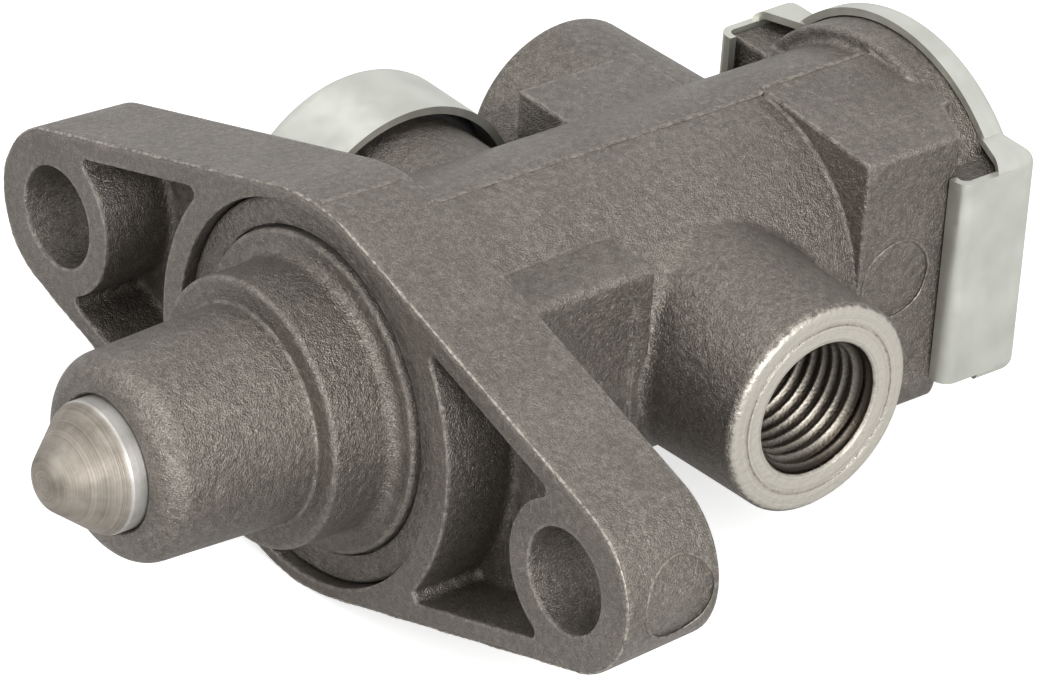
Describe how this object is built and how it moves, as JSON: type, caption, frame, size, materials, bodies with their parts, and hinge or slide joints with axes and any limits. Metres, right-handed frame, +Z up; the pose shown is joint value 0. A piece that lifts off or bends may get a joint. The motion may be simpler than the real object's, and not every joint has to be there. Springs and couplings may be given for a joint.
{
  "type": "multiway valve",
  "caption": "Plunger-operated multiway air valve with an oval bolt-on flange, a die-cast barrel, side ports, a capped exhaust and a clipped rear cover.",
  "frame": {"origin": "centre of the flange's mounting face, on the plunger's axis, midway between the two bolt holes", "axes": "-Y out of the mounting face along the plunger, towards its tip; +X along the flange's long axis, towards the outlet port; +Z up, square to both"},
  "size_m": [0.096, 0.1053, 0.0412],
  "materials": {
    "cast_aluminium": "die-cast and shot-blasted, machined at the faces and bores",
    "guide_metal": "turned, matt",
    "turned_aluminium": "turned",
    "plunger_steel": "turned, fine rings",
    "plated_sheet": "pressed steel sheet, zinc plated, satin",
    "spring_steel": "drawn wire and spring strip",
    "seat_brass": "turned",
    "seal_rubber": "moulded, matt"
  },
  "bodies": {
    "housing": {"valve_body": "cast_aluminium", "plunger_guide": "guide_metal", "guide_o_ring": "seal_rubber", "plunger_seal": "seal_rubber", "plunger_wiper": "seal_rubber", "inlet_seat_ring": "seat_brass", "return_spring_seat": "plated_sheet", "rear_plug": "turned_aluminium", "rear_plug_o_ring": "seal_rubber", "rear_cover_clip": "plated_sheet", "exhaust_cap": "plated_sheet", "cap_grip_ring": "spring_steel", "exhaust_lip_seal": "seal_rubber"},
    "plunger_unit": {"plunger": "plunger_steel", "control_piston": "turned_aluminium", "piston_o_ring": "seal_rubber", "return_spring": "spring_steel"},
    "inlet_valve": {"inlet_valve_disc": "seal_rubber", "inlet_valve_holder": "turned_aluminium", "holder_o_ring": "seal_rubber", "inlet_valve_spring": "spring_steel"}
  },
  "joints": [
    {"name": "plunger_slide", "type": "slide", "parent": "housing", "child": "plunger_unit", "axis": [0, 1, 0], "range_m": [0, 0.0045], "stiffness_N_per_m": 6000, "springref_m": -0.004, "deforming": ["return_spring"]},
    {"name": "inlet_valve_slide", "type": "slide", "parent": "housing", "child": "inlet_valve", "axis": [0, 1, 0], "range_m": [0, 0.00261], "deforming": ["inlet_valve_spring"]}
  ],
  "couplings": [
    {"joint": "inlet_valve_slide", "follows": "plunger_slide", "ratio": 0.578}
  ]
}
